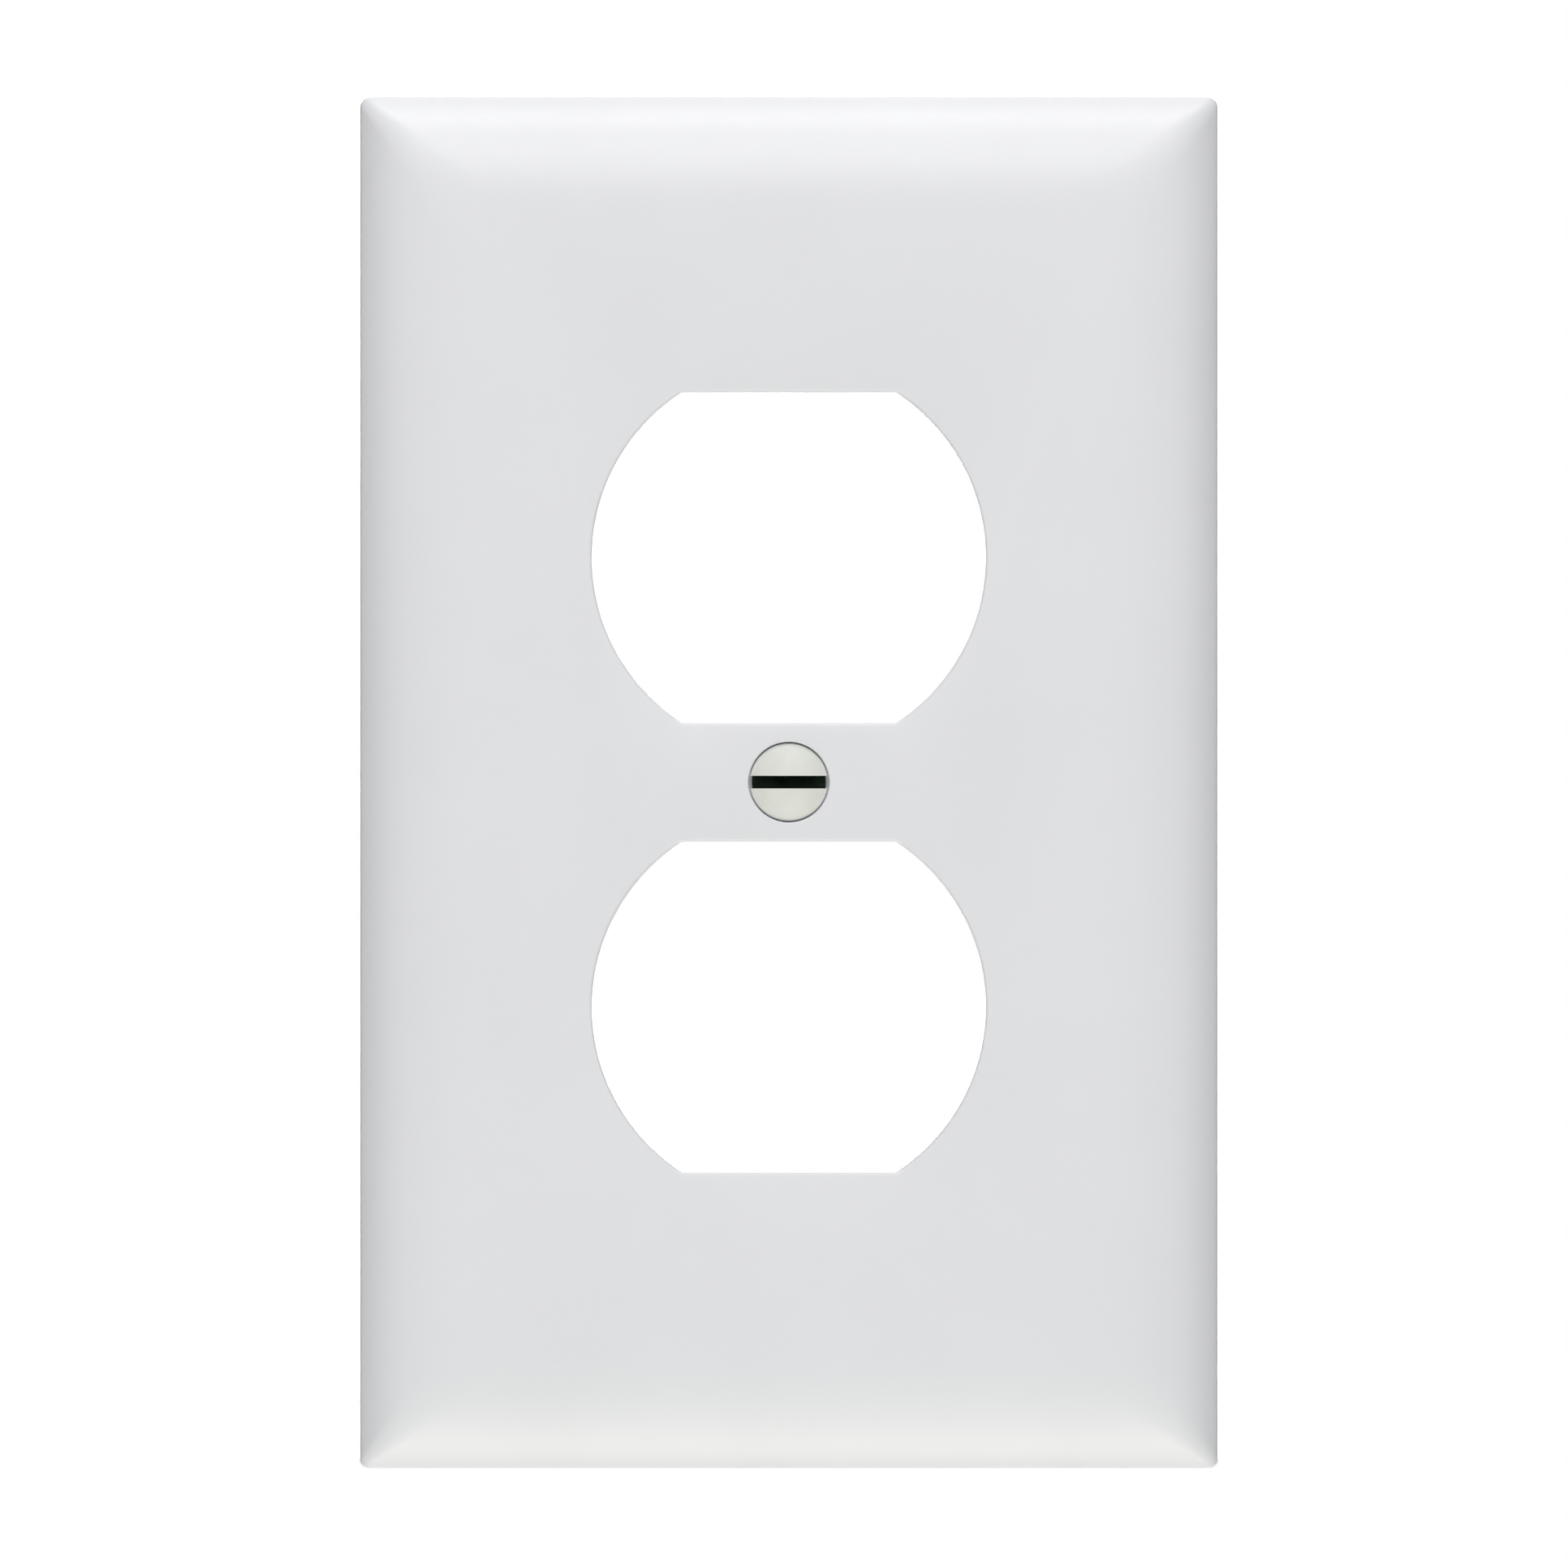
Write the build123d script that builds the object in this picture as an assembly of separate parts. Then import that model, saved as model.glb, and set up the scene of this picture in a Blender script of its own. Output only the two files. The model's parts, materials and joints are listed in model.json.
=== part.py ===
from build123d import *
import math
import os

# Duplex wall plate: the moulded cover that frames the two faces of a duplex
# outlet, with the oval-head screw that holds it and the thin washer that keeps
# the screw in its hole until the plate is fitted.
#
# Every piece is modelled lying on its back: X across the plate, Y up the plate
# and Z out of the wall, with Z = 0 on the wall. hang_on_wall() then stands it
# up, so that the finished part has Z up and its front towards -Y.
# All sizes are in millimetres. A level is a height above the wall.

# ---- plate, outside -------------------------------------------------------
plate_width = 74.6
plate_height = 119.1
plate_depth = 5.6
corner_radius = 0.9  # of the outline at the wall
face_corner_radius = 4.5  # of the flat face, inside the crown
side_draft = 0.15  # how far each side leans in before the crown starts
crown_width = 9.5  # from the outline in to the flat face
crown_radius = 19.5  # of the gentle curve that leaves the flat face
shoulder_width = 4.0  # from the outline in to where the curve tightens
shoulder_radius = 8.0  # of that tighter curve, down to the edge
edge_round = 0.8  # between the shoulder and the side

# ---- plate, walls ---------------------------------------------------------
face_wall = 2.0
skirt_wall = 1.6

# ---- openings for the outlet's two faces ----------------------------------
opening_diameter = 34.1
opening_flats = 28.6  # across the flat top and bottom of each opening
opening_pitch = 38.9
opening_edge_round = 0.25
collar_wall = 1.3  # the collar behind each opening

# ---- ribs, and the room they leave for the outlet behind the plate ---------
rib_thickness = 1.0
rib_clearance = 0.7  # from the wall to the ribs beside the strap
strap_clearance = 2.2  # from the wall to the collars and to the ribs over the strap
fixing_pitch = 83.3  # between the screws that hold the outlet in its box
fixing_head_room = 4.3  # kept clear round each of those screws
side_rib_rows = 5

# ---- screw ----------------------------------------------------------------
head_diameter = 6.7
head_rim = 0.2  # the straight edge of the head
head_sink = 0.3  # from the flat face down to the head's widest point
head_dome = 1.15
head_cone_angle = 82.0
slot_width = 1.1
slot_depth = 1.5
screw_length = 15.9  # from the head's widest point to the tip
neck_length = 1.15  # the plain shank between the head's cone and the thread
thread_diameter = 3.5
thread_height = 0.275  # from the plain shank out to the crest of the thread
tip_chamfer = 0.4

# ---- retaining washer -----------------------------------------------------
washer_diameter = 7.8
washer_thickness = 0.4
washer_play = 0.05  # round the plain shank
washer_end_play = 0.1  # in front of the thread
screw_travel = 0.7  # before the washer meets the boss

# ---- screw hole -----------------------------------------------------------
hole_clearance = 0.2  # round the thread
seat_clearance = 0.1  # round the head
boss_wall = 1.35  # round the mouth of the countersink
washer_clearance = 0.3  # round the washer, in the recess behind the boss

# ---- cutting and lofting --------------------------------------------------
past = 1.0  # how far a cutting tool runs past the surface that it opens
curve_steps = 6  # spans between the lofted outlines along a curved part of a section

# ---- worked out from the sizes above --------------------------------------
crown_end_slope = math.asin((crown_width - shoulder_width) / crown_radius)
under_face = plate_depth - face_wall
mid_face = plate_depth - face_wall / 2
collar_radius = opening_diameter / 2 + collar_wall

head_radius = head_diameter / 2
thread_radius = thread_diameter / 2
neck_radius = thread_radius - thread_height
hole_radius = thread_radius + hole_clearance
mouth_radius = head_radius + seat_clearance
cone_slope = math.tan(math.radians(head_cone_angle / 2))

head_level = plate_depth - head_sink
rim_level = head_level - head_rim
dome_level = head_level + head_dome
neck_level = rim_level - (head_radius - neck_radius) / cone_slope
thread_level = neck_level - neck_length
tip_level = head_level - screw_length
washer_level = thread_level + washer_end_play
boss_level = washer_level + washer_thickness + screw_travel


def skin_section(wall, thickness, rounding=0.0):
    """The edges of the plate's section, from the wall up the side and over the
    crown. X is the inset from the outline and Y the level, for a skin that lies
    `wall` in from the side and `thickness` under the face."""
    crown_centre = Vector(crown_width, plate_depth - crown_radius)
    leaving = Vector(-math.sin(crown_end_slope), math.cos(crown_end_slope))
    shoulder_centre = crown_centre + leaving * (crown_radius - shoulder_radius)
    radius = shoulder_radius - thickness
    join = shoulder_centre + leaving * radius

    inset = wall + side_draft
    rise = math.sqrt(radius**2 - (shoulder_centre.X - inset) ** 2)
    edge = Vector(inset, shoulder_centre.Y + rise)
    side = Line((wall, 0), edge)
    crown = TangentArc((crown_width, plate_depth - thickness), join, tangent=(-1, 0))
    shoulder = TangentArc(join, edge, tangent=crown % 1)
    section = Wire([side, shoulder, crown])
    if rounding > 0:
        corner = section.vertices().sort_by_distance(edge)[0]
        section = section.fillet_2d(rounding, [corner])
    return section.edges().sort_by(Axis.Y)


def plate_outline(inset, level):
    """The plate's outline at a level, drawn in by an inset."""
    share = inset / crown_width
    radius = corner_radius + (face_corner_radius - corner_radius) * share
    outline = RectangleRounded(plate_width - 2 * inset, plate_height - 2 * inset, radius)
    return Pos(0, 0, level) * outline


def crowned_block(section):
    """The solid whose outline follows a section's insets from level to level."""
    block = Part()
    for edge in section:
        steps = 1 if edge.geom_type == GeomType.LINE else curve_steps
        points = [edge @ (step / steps) for step in range(steps + 1)]
        levels = sorted((point.Y, point.X) for point in points)
        block += loft([plate_outline(inset, level) for level, inset in levels])
    return block


def opening_sketch(margin=0.0):
    """The outline of one opening: a circle with a flat top and bottom."""
    radius = opening_diameter / 2 + margin
    return Circle(radius) & Rectangle(2 * radius, opening_flats + 2 * margin)


def opening_places():
    """The centres of the two openings."""
    return [Pos(0, side * opening_pitch / 2) for side in (-1, 1)]


def column(sketch, low, high):
    """A sketch drawn out from one level to another."""
    return Pos(0, 0, low) * extrude(sketch, high - low)


def rib(x_span, y_span, clearance):
    """One rib, from its clearance above the wall to halfway through the face."""
    (x_low, x_high), (y_low, y_high) = sorted(x_span), sorted(y_span)
    outline = Rectangle(x_high - x_low, y_high - y_low, align=(Align.MIN, Align.MIN))
    return column(Pos(x_low, y_low) * outline, clearance, mid_face)


def ribs():
    """All the ribs behind the face, running out past the hollow on every side."""
    half = rib_thickness / 2
    long_rib = collar_radius - collar_wall / 2
    end_rib = fixing_pitch / 2 + fixing_head_room + half
    bars = rib((-long_rib, long_rib), (-half, half), strap_clearance)
    for side in (-1, 1):
        beside, across = side * long_rib, side * end_rib
        bars += rib((beside - half, beside + half), (-plate_height / 2, plate_height / 2), rib_clearance)
        bars += rib((-long_rib, long_rib), (across - half, across + half), strap_clearance)
        for row in range(side_rib_rows):
            y = (row - (side_rib_rows - 1) / 2) * opening_pitch / 2
            bars += rib((beside, side * plate_width / 2), (y - half, y + half), rib_clearance)
    return bars


def moulding_core():
    """What the mould's core fills behind the face: the hollow, with grooves for
    the ribs, the collars and the screw boss."""
    core = crowned_block(skin_section(skirt_wall, face_wall)) - ribs()
    for place in opening_places():
        core -= column(place * opening_sketch(collar_wall), strap_clearance, mid_face)
    return core - column(Circle(mouth_radius + boss_wall), boss_level, mid_face)


def wall_plate():
    """The moulded plate: a crowned shell with collars, ribs and a screw boss."""
    plate = crowned_block(skin_section(0.0, 0.0, edge_round)) - moulding_core()
    for place in opening_places():
        plate -= column(place * opening_sketch(), -past, plate_depth + past)
    mouths = plate.faces().sort_by(Axis.Z)[-1].inner_wires().edges()
    plate = fillet(mouths, opening_edge_round)
    plate -= column(Circle(washer_diameter / 2 + washer_clearance), -past, boss_level)
    return plate - screw_seat()


def screw_seat():
    """The cutter for the screw's hole and the countersink that seats its head."""
    cone_end = rim_level - (mouth_radius - hole_radius) / cone_slope
    section = Polyline(
        (0, -past),
        (hole_radius, -past),
        (hole_radius, cone_end),
        (mouth_radius, rim_level),
        (mouth_radius, plate_depth + past),
        (0, plate_depth + past),
        close=True,
    )
    return revolve(Plane.XZ * make_face(section), Axis.Z)


def mounting_screw():
    """The oval-head machine screw: slotted dome, cone, plain shank and thread."""
    dome = TangentArc((0, dome_level), (head_radius, head_level), tangent=(1, 0))
    below = Polyline(
        (head_radius, head_level),
        (head_radius, rim_level),
        (neck_radius, neck_level),
        (neck_radius, thread_level),
        (thread_radius, thread_level),
        (thread_radius, tip_level + tip_chamfer),
        (thread_radius - tip_chamfer, tip_level),
        (0, tip_level),
        (0, dome_level),
    )
    screw = revolve(Plane.XZ * make_face([dome, *below.edges()]), Axis.Z)
    slot = Rectangle(head_diameter + past, slot_width)
    return screw - column(slot, dome_level - slot_depth, dome_level + past)


def retaining_washer():
    """The thin washer on the plain shank, too small to pass over the thread."""
    ring = Circle(washer_diameter / 2) - Circle(neck_radius + washer_play)
    return column(ring, washer_level, washer_level + washer_thickness)


def hang_on_wall(piece):
    """Stands a piece up, from lying on its back to hanging on the wall."""
    return Plane.XZ.location * piece


pieces = {
    "wall_plate": wall_plate(),
    "mounting_screw": mounting_screw(),
    "retaining_washer": retaining_washer(),
}
os.makedirs("parts", exist_ok=True)
for name, piece in pieces.items():
    export_step(hang_on_wall(piece), f"parts/{name}.step")
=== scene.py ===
"""Duplex wall plate: a crowned nylon plate, its oval-head screw and the screw's washer.

Everything is in metres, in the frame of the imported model: X across the plate, Z up it and the
front towards -Y, with the wall at Y = 0. Sizes are written in millimetres, and mm() turns them
into metres. A level is a height above the wall, so a point at a level lies at Y = -level.
"""

import json
import logging
import math
from collections.abc import Callable, Sequence
from dataclasses import dataclass, field
from enum import Enum
from itertools import product

import bmesh
import bpy
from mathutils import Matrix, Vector

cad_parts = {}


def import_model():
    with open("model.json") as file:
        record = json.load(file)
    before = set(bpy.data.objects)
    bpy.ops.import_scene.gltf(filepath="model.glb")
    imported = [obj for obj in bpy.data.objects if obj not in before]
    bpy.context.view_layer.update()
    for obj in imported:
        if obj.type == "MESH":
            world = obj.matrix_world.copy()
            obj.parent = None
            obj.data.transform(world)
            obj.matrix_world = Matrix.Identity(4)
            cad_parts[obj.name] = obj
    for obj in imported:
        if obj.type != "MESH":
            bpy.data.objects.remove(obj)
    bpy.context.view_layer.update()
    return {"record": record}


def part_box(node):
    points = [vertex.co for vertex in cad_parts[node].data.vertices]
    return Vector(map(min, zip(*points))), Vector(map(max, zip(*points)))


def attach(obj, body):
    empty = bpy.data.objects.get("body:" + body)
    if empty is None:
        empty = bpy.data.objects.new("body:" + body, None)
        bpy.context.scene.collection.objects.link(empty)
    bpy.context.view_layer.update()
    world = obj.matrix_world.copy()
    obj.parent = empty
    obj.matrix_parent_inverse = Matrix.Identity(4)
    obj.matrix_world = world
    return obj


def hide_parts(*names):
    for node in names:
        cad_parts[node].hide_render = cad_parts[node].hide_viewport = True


LOG = logging.getLogger("wall_plate")
FACING_OUT = (math.pi / 2, 0.0, 0.0)  # turns a flat primitive to face -Y
PAST = 1.0  # millimetres that a cutter runs past the surface it opens
WELD = 0.0005  # millimetres within which two corners become one
SIDES = (-1, 1)  # left and right, or below and above

Piece = bpy.types.Object
Node = bpy.types.Node
Socket = bpy.types.NodeSocket
Element = bmesh.types.BMVert | bmesh.types.BMEdge
Colour = tuple[float, float, float]
Point = tuple[float, float]


def mm(value: float) -> float:
    """Millimetres as metres."""
    return value * 0.001


def in_mm(value: float) -> float:
    """Metres as millimetres."""
    return value * 1000


def place(x: float, level: float, z: float) -> Vector:
    """A point in the frame: x mm to the right of the screw, level mm off the wall, z mm up."""
    return Vector((mm(x), -mm(level), mm(z)))


def spaced(start: float, end: float, count: int) -> list[float]:
    """Evenly spaced numbers, both ends included."""
    return [start + (end - start) * step / (count - 1) for step in range(count)]


def arc(centre: Point, radius: float, turns: Sequence[float]) -> list[Point]:
    """Points on an arc, at angles that start straight above its centre and turn to the left."""
    x, y = centre
    return [(x - radius * math.sin(turn), y + radius * math.cos(turn)) for turn in turns]


def add(name: str, data: bpy.types.ID) -> Piece:
    """Adds an object to the scene, at the origin.

    Args:
        name: the object's name.
        data: its mesh, lamp or camera.

    Returns:
        The object.
    """
    thing = bpy.data.objects.new(name, data)
    bpy.context.scene.collection.objects.link(thing)
    return thing


class Fusing(Enum):
    """How a second solid changes the first one."""

    CUT = "DIFFERENCE"
    ADD = "UNION"
    TRIM = "INTERSECT"


class Kind(Enum):
    """What of a mesh is selected."""

    CORNERS = "VERT"
    EDGES = "EDGE"


def ends_of(edge: bmesh.types.BMEdge) -> set[int]:
    """The numbers of an edge's two corners."""
    return {corner.index for corner in edge.verts}


@dataclass(frozen=True)
class Outline:
    """A rounded rectangle, parallel to the wall. Sizes in millimetres."""

    width: float
    height: float
    radius: float
    level: float


# ---- hand tools ----


class Bench:
    """The operators that every piece is modelled with."""

    @staticmethod
    def take(piece: Piece) -> None:
        """Makes a piece the only selected object, and the active one.

        Args:
            piece: the object.
        """
        if bpy.context.mode != "OBJECT":
            bpy.ops.object.mode_set(mode="OBJECT")
        bpy.ops.object.select_all(action="DESELECT")
        piece.select_set(True)
        bpy.context.view_layer.objects.active = piece

    @staticmethod
    def open(piece: Piece) -> None:
        """Takes a piece into edit mode with nothing selected.

        Args:
            piece: the object.
        """
        Bench.take(piece)
        bpy.ops.object.mode_set(mode="EDIT")
        bpy.ops.mesh.select_mode(type="VERT")
        bpy.ops.mesh.select_all(action="DESELECT")

    @staticmethod
    def close() -> None:
        """Points all faces outwards and leaves edit mode."""
        bpy.ops.mesh.select_all(action="SELECT")
        bpy.ops.mesh.normals_make_consistent(inside=False)
        bpy.ops.object.mode_set(mode="OBJECT")

    @staticmethod
    def settle(name: str) -> Piece:
        """Names the primitive that was just added and moves its place into its mesh.

        Args:
            name: the object's name from now on.

        Returns:
            The object, at the origin, unturned and unscaled.
        """
        piece = bpy.context.view_layer.objects.active
        piece.name = name
        Bench.take(piece)
        bpy.ops.object.transform_apply(location=True, rotation=True, scale=True)
        return piece

    @staticmethod
    def pick(piece: Piece, kind: Kind, test: Callable[[Element], bool]) -> None:
        """Selects corners or edges of the piece that is open.

        Args:
            piece: the piece.
            kind: corners or edges.
            test: says whether one of them is wanted.
        """
        bpy.ops.mesh.select_mode(type=kind.value)
        bpy.ops.mesh.select_all(action="DESELECT")
        mesh = bmesh.from_edit_mesh(piece.data)
        for element in mesh.edges if kind is Kind.EDGES else mesh.verts:
            element.select_set(test(element))
        mesh.select_flush_mode()
        bmesh.update_edit_mesh(piece.data)

    @staticmethod
    def pick_rings(piece: Piece, *rings: range) -> None:
        """Selects the edges that run round some rings of the open piece's corners."""
        wanted = [set(ring) for ring in rings]
        Bench.pick(piece, Kind.EDGES, lambda edge: any(ends_of(edge) <= ring for ring in wanted))

    @staticmethod
    def pull(level_from: float, level_to: float, scale_x: float, scale_z: float) -> None:
        """Extrudes the selected face to another level and resizes it there about the axis.

        Args:
            level_from: the face's level, in millimetres.
            level_to: its new level.
            scale_x: how much wider it gets.
            scale_z: how much taller it gets.
        """
        rise = mm(level_from - level_to)
        bpy.ops.mesh.extrude_region_move(TRANSFORM_OT_translate={"value": (0.0, rise, 0.0)})
        bpy.ops.transform.resize(
            value=(scale_x, 1.0, scale_z), center_override=(0.0, -mm(level_to), 0.0)
        )

    @staticmethod
    def disc(name: str, radius: float, level: float, sides: int) -> Piece:
        """Adds a flat disc on the screw's axis and opens it.

        Args:
            name: the object's name.
            radius: in millimetres.
            level: where it lies, in millimetres.
            sides: facets round it.

        Returns:
            The disc, in edit mode with nothing selected.
        """
        bpy.ops.mesh.primitive_circle_add(
            vertices=sides, radius=mm(radius), fill_type="NGON", location=place(0, level, 0),
            rotation=FACING_OUT,
        )
        piece = Bench.settle(name)
        Bench.open(piece)
        return piece

    @staticmethod
    def turn(name: str, profile: Sequence[Point], sides: int = 96) -> Piece:
        """Turns a closed solid about the screw's axis.

        Args:
            name: the object's name.
            profile: (radius, level) of each corner from one end to the other, in millimetres.
            sides: facets round the solid.

        Returns:
            The solid.
        """
        radius, level = profile[0]
        piece = Bench.disc(name, radius, level, sides)
        bpy.ops.mesh.select_all(action="SELECT")
        for next_radius, next_level in profile[1:]:
            ratio = next_radius / radius
            Bench.pull(level, next_level, ratio, ratio)
            radius, level = next_radius, next_level
        Bench.close()
        return piece

    @staticmethod
    def loft(name: str, outlines: Sequence[Outline], segments: int) -> Piece:
        """Bridges rounded rectangles, from the lowest to the highest, into a closed solid.

        Args:
            name: the object's name.
            outlines: the rounded rectangles, in order.
            segments: facets round each corner.

        Returns:
            The solid.
        """
        piece = add(name, bpy.data.meshes.new(name))
        Bench.open(piece)
        rings = []
        for outline in outlines:
            start = len(bmesh.from_edit_mesh(piece.data).verts)
            centre = place(0, outline.level, 0)
            bpy.ops.mesh.primitive_plane_add(size=1.0, location=centre, rotation=FACING_OUT)
            bpy.ops.transform.resize(
                value=(mm(outline.width), 1.0, mm(outline.height)), center_override=centre
            )
            bpy.ops.mesh.bevel(
                offset_type="OFFSET", offset=mm(outline.radius), segments=segments,
                affect="VERTICES", clamp_overlap=False,
            )
            bpy.ops.mesh.delete(type="ONLY_FACE")
            rings.append(range(start, len(bmesh.from_edit_mesh(piece.data).verts)))
        for lower, upper in zip(rings, rings[1:]):
            Bench.pick_rings(piece, lower, upper)
            bpy.ops.mesh.bridge_edge_loops()
        for ring in (rings[0], rings[-1]):
            Bench.pick_rings(piece, ring)
            bpy.ops.mesh.edge_face_add()
        Bench.close()
        return piece

    @staticmethod
    def bar(name: str, low: Vector, high: Vector, rounding: float) -> Piece:
        """Adds a bar whose edges nearest the wall are rounded.

        Args:
            name: the object's name.
            low: its lowest corner along every axis, in metres.
            high: its highest corner.
            rounding: radius of the rounded edges, in millimetres.

        Returns:
            The bar.
        """
        middle, size = (low + high) / 2, high - low
        bpy.ops.mesh.primitive_cube_add(size=1.0, location=middle, scale=size)
        piece = Bench.settle(name)
        Bench.open(piece)
        Bench.pick(piece, Kind.CORNERS, lambda corner: corner.co.y > middle.y)
        bpy.ops.mesh.bevel(offset=mm(rounding), segments=3, affect="EDGES")
        Bench.close()
        return piece

    @staticmethod
    def fuse(piece: Piece, other: Piece, how: Fusing) -> None:
        """Cuts, adds or trims a piece with another one, which is used up.

        Args:
            piece: the object that changes.
            other: the object that changes it.
            how: what is done with the second one.
        """
        modifier = piece.modifiers.new(how.name.lower(), "BOOLEAN")
        modifier.operation = how.value
        modifier.solver = "EXACT"
        modifier.object = other
        Bench.take(piece)
        bpy.ops.object.modifier_apply(modifier=modifier.name)
        bpy.data.objects.remove(other)

    @staticmethod
    def finish(piece: Piece, crease: float) -> None:
        """Merges doubles, turns faces outwards and smooths all but the creases.

        Args:
            piece: the object.
            crease: the angle from which an edge stays sharp, in degrees.
        """
        Bench.open(piece)
        bpy.ops.mesh.select_all(action="SELECT")
        bpy.ops.mesh.remove_doubles(threshold=mm(WELD))
        Bench.close()
        Bench.take(piece)
        bpy.ops.object.shade_smooth_by_angle(angle=math.radians(crease))


# ---- finishes ----


class Shader:
    """A material's node tree, built node by node."""

    NOISE_LOW, NOISE_HIGH = 0.3, 0.7  # the range that nearly all of a noise's values lie in

    def __init__(self, name: str) -> None:
        """Starts a material with the usual surface shader.

        Args:
            name: the material's name.
        """
        self.material = bpy.data.materials.new(name)
        self.material.use_nodes = True
        self.tree = self.material.node_tree
        self.surface = self.tree.nodes["Principled BSDF"]
        self.coordinates = self.node("ShaderNodeTexCoord")

    def node(self, kind: str, **settings: object) -> Node:
        """Adds a node.

        Args:
            kind: its type.
            settings: what its attributes are set to.

        Returns:
            The node.
        """
        made = self.tree.nodes.new(kind)
        for name, value in settings.items():
            setattr(made, name, value)
        return made

    def link(self, source: Socket, target: Socket) -> None:
        """Joins two sockets."""
        self.tree.links.new(source, target)

    @staticmethod
    def set(node: Node, **values: object) -> None:
        """Sets a node's own sockets, named with _ for each space."""
        for name, value in values.items():
            node.inputs[name.replace("_", " ")].default_value = value

    def noise(
        self, size: float, detail: float = 2.0, stretch: Sequence[float] = (1.0, 1.0, 1.0)
    ) -> Node:
        """Adds noise that follows the object.

        Args:
            size: about how large its blotches are, in millimetres.
            detail: how many finer layers it has.
            stretch: how much closer together they lie along each axis.

        Returns:
            The noise node.
        """
        mapping = self.node("ShaderNodeMapping")
        self.set(mapping, Scale=stretch)
        self.link(self.coordinates.outputs["Object"], mapping.inputs["Vector"])
        noise = self.node("ShaderNodeTexNoise")
        self.set(noise, Scale=1.0 / mm(size), Detail=detail)
        self.link(mapping.outputs["Vector"], noise.inputs["Vector"])
        return noise

    def spread(self, noise: Node, low: float, high: float) -> Socket:
        """Maps a noise's usual range onto another range.

        Args:
            noise: the noise node.
            low: what its low values become.
            high: what its high values become.

        Returns:
            The socket that gives the new values.
        """
        ramp = self.node("ShaderNodeMapRange")
        self.set(ramp, From_Min=self.NOISE_LOW, From_Max=self.NOISE_HIGH, To_Min=low, To_Max=high)
        self.link(noise.outputs["Fac"], ramp.inputs["Value"])
        return ramp.outputs["Result"]

    def colour(self, noise: Node, first: Colour, second: Colour) -> None:
        """Lets the surface's colour drift between two colours.

        Args:
            noise: the noise that it drifts with.
            first: the colour where the noise is low.
            second: the colour where it is high.
        """
        mix = self.node("ShaderNodeMix", data_type="RGBA")
        ends = [socket for socket in mix.inputs if socket.type == "RGBA"]
        for socket, colour in zip(ends, (first, second)):
            socket.default_value = (*colour, 1.0)
        self.link(self.spread(noise, 0.0, 1.0), mix.inputs["Factor"])
        mixed = next(socket for socket in mix.outputs if socket.type == "RGBA")
        self.link(mixed, self.surface.inputs["Base Color"])

    def roughness(self, noise: Node, low: float, high: float) -> None:
        """Lets the surface's roughness drift with a noise, from low to high."""
        self.link(self.spread(noise, low, high), self.surface.inputs["Roughness"])

    def bump(self, *layers: tuple[Node, float]) -> None:
        """Raises the surface by layers of noise.

        Args:
            layers: each layer's noise and its depth in millimetres, the broadest first.
        """
        normal = None
        for noise, depth in layers:
            bump = self.node("ShaderNodeBump")
            self.set(bump, Strength=1.0, Distance=mm(depth))
            self.link(noise.outputs["Fac"], bump.inputs["Height"])
            if normal is not None:
                self.link(normal, bump.inputs["Normal"])
            normal = bump.outputs["Normal"]
        self.link(normal, self.surface.inputs["Normal"])


@dataclass(frozen=True)
class MouldedNylon:
    """White nylon from a polished mould: glossy, a little cloudy, with a faint orange peel."""

    colour: Colour = (0.772, 0.778, 0.822)
    cloud: Colour = (0.757, 0.763, 0.806)
    gloss: tuple[float, float] = (0.30, 0.38)
    peel_depth: float = 0.004
    grain_depth: float = 0.0006

    def material(self) -> bpy.types.Material:
        """Builds the finish.

        Returns:
            Its material.
        """
        shader = Shader("moulded_nylon")
        cloud = shader.noise(size=14.0, detail=3.0)
        peel = shader.noise(size=0.9, detail=1.0)
        grain = shader.noise(size=0.12)
        shader.colour(cloud, self.colour, self.cloud)
        shader.roughness(peel, *self.gloss)
        shader.bump((peel, self.peel_depth), (grain, self.grain_depth))
        shader.set(shader.surface, IOR=1.5, Specular_IOR_Level=0.5)
        return shader.material


@dataclass(frozen=True)
class BakedPaint:
    """Off-white enamel, baked on the screw's head."""

    colour: Colour = (0.740, 0.752, 0.722)
    thin: Colour = (0.712, 0.726, 0.694)
    sheen: tuple[float, float] = (0.54, 0.66)
    flow_depth: float = 0.008
    grain_depth: float = 0.0012

    def material(self) -> bpy.types.Material:
        """Builds the finish.

        Returns:
            Its material.
        """
        shader = Shader("baked_paint")
        flow = shader.noise(size=1.4)
        grain = shader.noise(size=0.08)
        shader.colour(flow, self.colour, self.thin)
        shader.roughness(flow, *self.sheen)
        shader.bump((flow, self.flow_depth), (grain, self.grain_depth))
        shader.set(shader.surface, IOR=1.5)
        return shader.material


@dataclass(frozen=True)
class RolledSteel:
    """Steel that was rolled round the shank, which leaves a fine grain; zinc-plated, or bare and
    coloured near-black as painted shade in the slot.
    """

    name: str = "zinc_plate"
    colour: Colour = (0.60, 0.61, 0.62)
    dull: Colour = (0.44, 0.46, 0.49)
    sheen: tuple[float, float] = (0.26, 0.42)
    metal: float = 1.0
    sheen_level: float = 0.5
    grain_depth: float = 0.002

    def material(self) -> bpy.types.Material:
        """Builds the finish.

        Returns:
            Its material.
        """
        shader = Shader(self.name)
        blotch = shader.noise(size=0.9, detail=4.0)
        rolled = shader.noise(size=0.10, stretch=(0.2, 2.5, 0.2))
        shader.colour(blotch, self.colour, self.dull)
        shader.roughness(blotch, *self.sheen)
        shader.bump((rolled, self.grain_depth))
        shader.set(shader.surface, Metallic=self.metal, Specular_IOR_Level=self.sheen_level)
        return shader.material


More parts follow.
